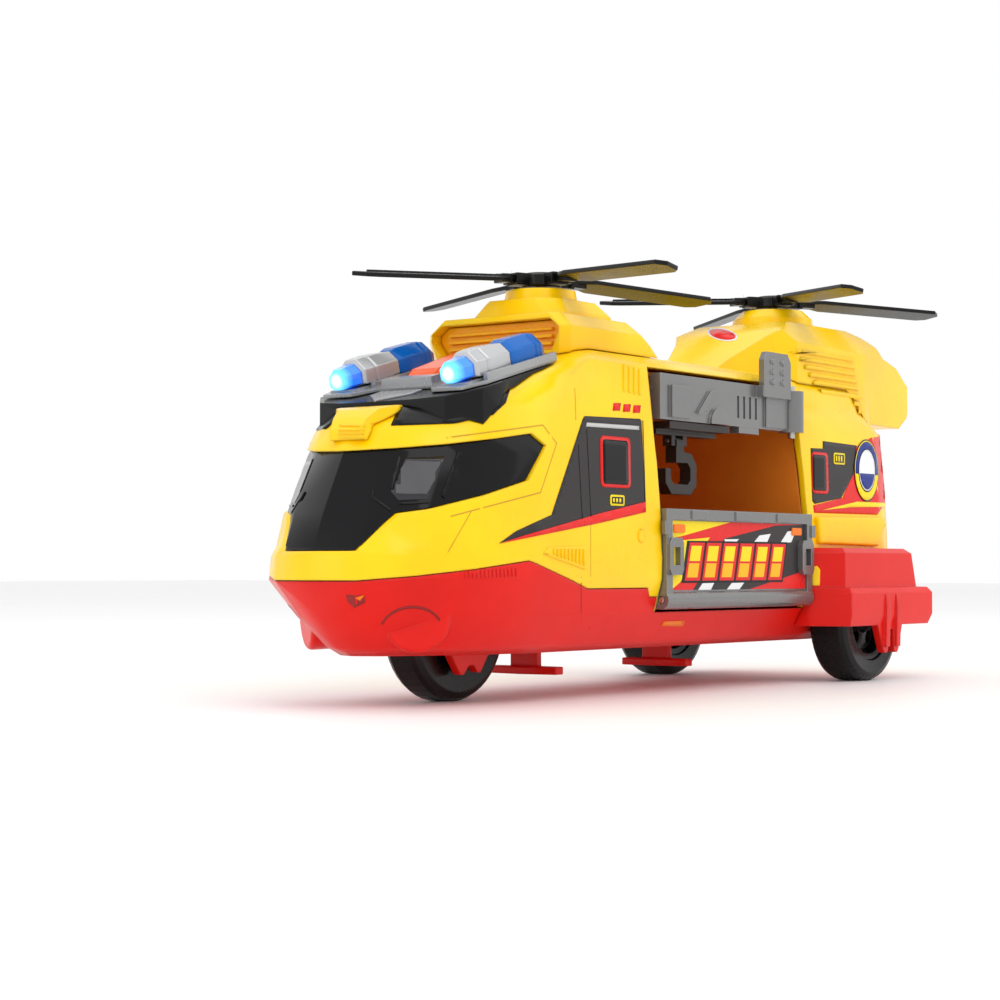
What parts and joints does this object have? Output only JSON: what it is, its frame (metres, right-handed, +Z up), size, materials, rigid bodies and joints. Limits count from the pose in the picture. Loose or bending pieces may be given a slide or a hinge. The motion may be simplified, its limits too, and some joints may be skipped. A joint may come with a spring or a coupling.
{
  "type": "toy helicopter",
  "caption": "Toy rescue helicopter with tandem rotors, glossy nose, drop-down side door, swing-out cargo crane, light bar and tricycle wheels.",
  "frame": {"origin": "on the floor, under the centre of the bounding box", "axes": "-Y towards the nose, +X to the helicopter's left side (the side with the open bay), +Z up"},
  "size_m": [0.1472, 0.39, 0.1632],
  "materials": {
    "yellow_shell": "glossy moulded ABS",
    "red_hull": "glossy moulded ABS",
    "black_glass": "high gloss, opaque tinted glazing",
    "silver_plastic": "satin silver-grey paint on plastic",
    "blue_lens": "clear tinted blue lens",
    "lamp_lens": "lit blue lamp lens",
    "orange_button": "glossy translucent orange-red",
    "amber_grille": "translucent amber",
    "black_plastic": "satin black",
    "wheel_tyre": "semi-gloss hard plastic tyre",
    "grey_plastic": "satin mid grey",
    "dark_grey_plastic": "satin dark grey",
    "steel": "drawn wire and rod",
    "battery_wrap": "printed-free cell wrap",
    "green_board": "solder mask"
  },
  "bodies": {
    "fuselage": {"body_shell": "yellow_shell", "bay_liner": "yellow_shell", "nose_crest": "yellow_shell", "front_pylon": "yellow_shell", "rear_pylon": "yellow_shell", "hull": "red_hull", "nose_fork": "red_hull", "sponson_left": "red_hull", "sponson_right": "red_hull", "front_belly_foot": "red_hull", "rear_belly_foot": "red_hull", "battery_cover": "red_hull", "windscreen": "black_glass", "light_base": "black_glass", "light_tray": "silver_plastic", "lamp_pod_left": "silver_plastic", "lamp_pod_right": "silver_plastic", "beacon_left": "blue_lens", "beacon_right": "blue_lens", "lamp_lens_left": "lamp_lens", "lamp_lens_right": "lamp_lens", "intake_grille": "amber_grille", "speaker": "dark_grey_plastic", "door_hinge_pin": "steel", "arm_hinge_pin": "steel", "rear_axle": "steel", "nose_axle": "steel", "battery_1": "battery_wrap", "battery_2": "battery_wrap", "battery_3": "battery_wrap", "circuit_board": "green_board"},
    "front_rotor": {"front_rotor_hub": "black_plastic", "front_blade_1": "black_plastic", "front_blade_2": "black_plastic", "front_blade_3": "black_plastic", "front_blade_4": "black_plastic", "front_rotor_shaft": "steel"},
    "rear_rotor": {"rear_rotor_hub": "black_plastic", "rear_blade_1": "black_plastic", "rear_blade_2": "black_plastic", "rear_blade_3": "black_plastic", "rear_blade_4": "black_plastic", "rear_rotor_shaft": "steel"},
    "left_wheel": {"left_wheel_tyre": "wheel_tyre", "left_wheel_rim": "black_plastic"},
    "right_wheel": {"right_wheel_tyre": "wheel_tyre", "right_wheel_rim": "black_plastic"},
    "nose_wheel": {"nose_wheel_tyre": "wheel_tyre", "nose_wheel_rim": "black_plastic"},
    "door": {"side_door": "grey_plastic"},
    "arm": {"crane_arm": "grey_plastic", "hook_rail": "dark_grey_plastic", "hook_pin": "steel"},
    "hook": {"crane_hook": "dark_grey_plastic"},
    "button": {"siren_button": "orange_button"}
  },
  "joints": [
    {"name": "front_rotor_spin", "type": "hinge", "parent": "fuselage", "child": "front_rotor", "pos_m": [0, -0.0645, 0.149], "axis": [0, 0, 1], "continuous": true},
    {"name": "rear_rotor_spin", "type": "hinge", "parent": "fuselage", "child": "rear_rotor", "pos_m": [0, 0.108, 0.1576], "axis": [0, 0, 1], "continuous": true},
    {"name": "left_wheel_spin", "type": "hinge", "parent": "fuselage", "child": "left_wheel", "pos_m": [0.047, 0.092, 0.0255], "axis": [1, 0, 0], "continuous": true},
    {"name": "right_wheel_spin", "type": "hinge", "parent": "fuselage", "child": "right_wheel", "pos_m": [-0.047, 0.092, 0.0255], "axis": [1, 0, 0], "continuous": true},
    {"name": "nose_wheel_spin", "type": "hinge", "parent": "fuselage", "child": "nose_wheel", "pos_m": [0, -0.122, 0.0275], "axis": [1, 0, 0], "continuous": true},
    {"name": "side_door_hinge", "type": "hinge", "parent": "fuselage", "child": "door", "pos_m": [0.0445, 0, 0.0344], "axis": [0, 1, 0], "range_deg": [0, 100]},
    {"name": "crane_arm_swing", "type": "hinge", "parent": "fuselage", "child": "arm", "pos_m": [0.042, 0.0485, 0.1002], "axis": [0, 0, 1], "range_deg": [0, 95]},
    {"name": "hook_swing", "type": "hinge", "parent": "arm", "child": "hook", "pos_m": [0.033, -0.0245, 0.0934], "axis": [0, 1, 0], "range_deg": [-30, 30]},
    {"name": "siren_button_press", "type": "slide", "parent": "fuselage", "child": "button", "axis": [0, 0, -1], "range_m": [0, 0.002], "stiffness_N_per_m": 300, "springref_m": -0.0008}
  ]
}
